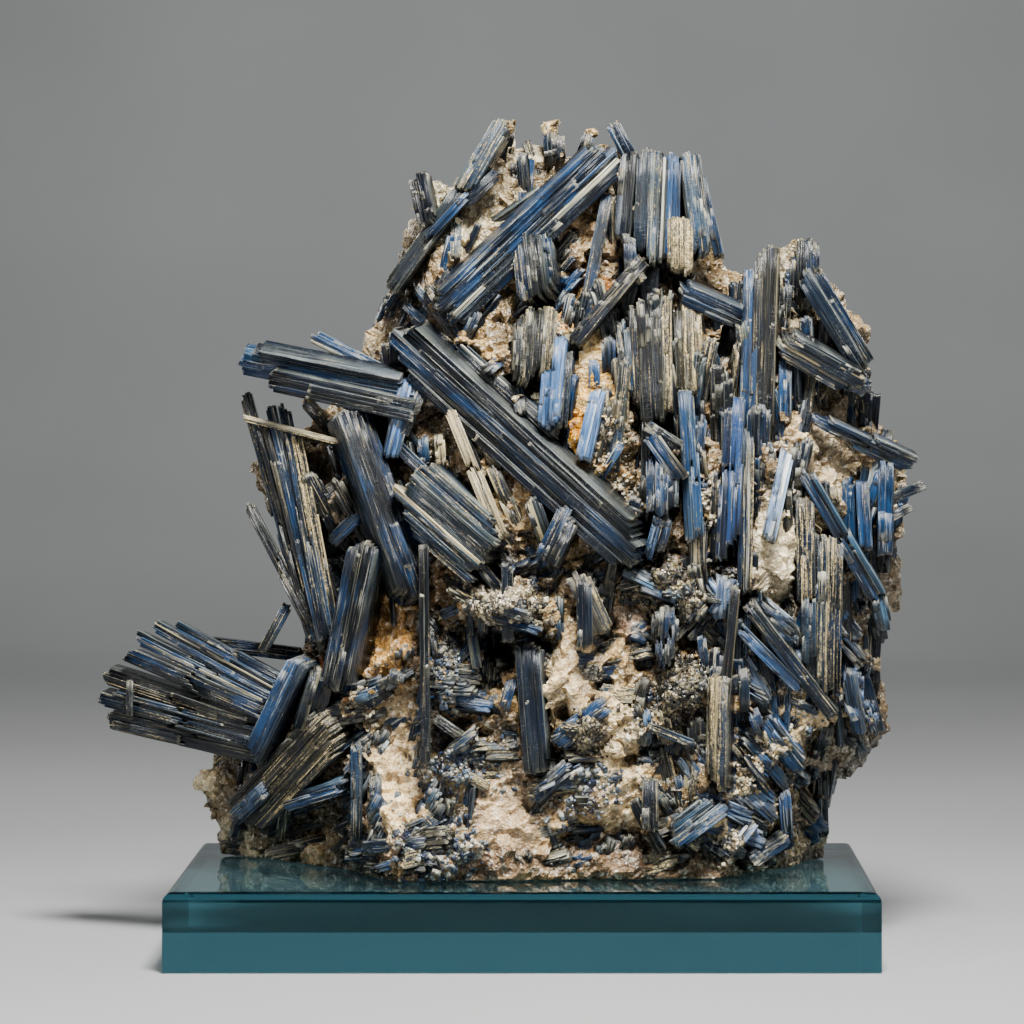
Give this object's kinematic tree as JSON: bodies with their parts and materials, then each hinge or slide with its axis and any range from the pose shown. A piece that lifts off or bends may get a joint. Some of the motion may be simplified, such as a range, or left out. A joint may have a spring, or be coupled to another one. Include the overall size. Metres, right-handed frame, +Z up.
{
  "type": "kyanite blade cluster",
  "caption": "Upright cluster of long flat blue and grey kyanite blades crossing one another on a pale quartz rock, standing on a clear rounded acrylic block.",
  "frame": {"origin": "centre of the clear block's underside, on the surface that it stands on", "axes": "+X along the block's length to the right seen from the display side, -Y toward the display side, +Z up"},
  "size_m": [0.4401, 0.2, 0.4341],
  "materials": {
    "clear_acrylic": "polished, clear with a faint teal tint",
    "quartz": "broken, granular, matt to glassy",
    "kyanite": "flat cleavage faces, satin, striated along the length"
  },
  "bodies": {
    "root": {"acrylic_base": "clear_acrylic", "back_cross_blade": "kyanite", "back_left_blade": "kyanite", "back_long_blade": "kyanite", "back_low_blade": "kyanite", "back_upright_blade": "kyanite", "black_prism": "kyanite", "block_edge_blade": "kyanite", "blue_slab": "kyanite", "bright_blue_second": "kyanite", "bright_blue_upright": "kyanite", "central_columns": "kyanite", "centre_blue_stub": "kyanite", "centre_diagonal_blade": "kyanite", "crossing_dark_blade": "kyanite", "crust_stick": "kyanite", "dark_column": "kyanite", "dark_tooth": "kyanite", "front_left_diagonal": "kyanite", "layered_block": "kyanite", "leaning_splinter": "kyanite", "left_horizontal_blade": "kyanite", "left_upright_fan": "kyanite", "long_left_diagonal": "kyanite", "long_right_splinter": "kyanite", "low_left_shelf": "kyanite", "low_right_shards": "kyanite", "lower_left_fan": "kyanite", "lower_left_striated": "kyanite", "lower_mid_dark": "kyanite", "lower_right_diagonals": "kyanite", "lower_right_pale_blade": "kyanite", "olive_bundle": "kyanite", "olive_vertical_prism": "kyanite", "pale_wedge": "kyanite", "pointed_blade_pair": "kyanite", "pointed_blade_short": "kyanite", "quartz_matrix": "quartz", "right_blue_blade": "kyanite", "right_cross_blade": "kyanite", "right_dark_diagonals": "kyanite", "right_low_diagonal": "kyanite", "right_lying_blade": "kyanite", "right_top_blade": "kyanite", "right_vertical_ribbons": "kyanite", "slanting_blade": "kyanite", "steep_left_blade": "kyanite", "tall_right_column": "kyanite", "thin_stick": "kyanite", "top_diagonal_blade": "kyanite", "top_left_long_blade": "kyanite", "top_right_columns": "kyanite", "upright_block": "kyanite", "upright_left_blade": "kyanite", "white_blue_burst": "kyanite"}
  },
  "joints": []
}
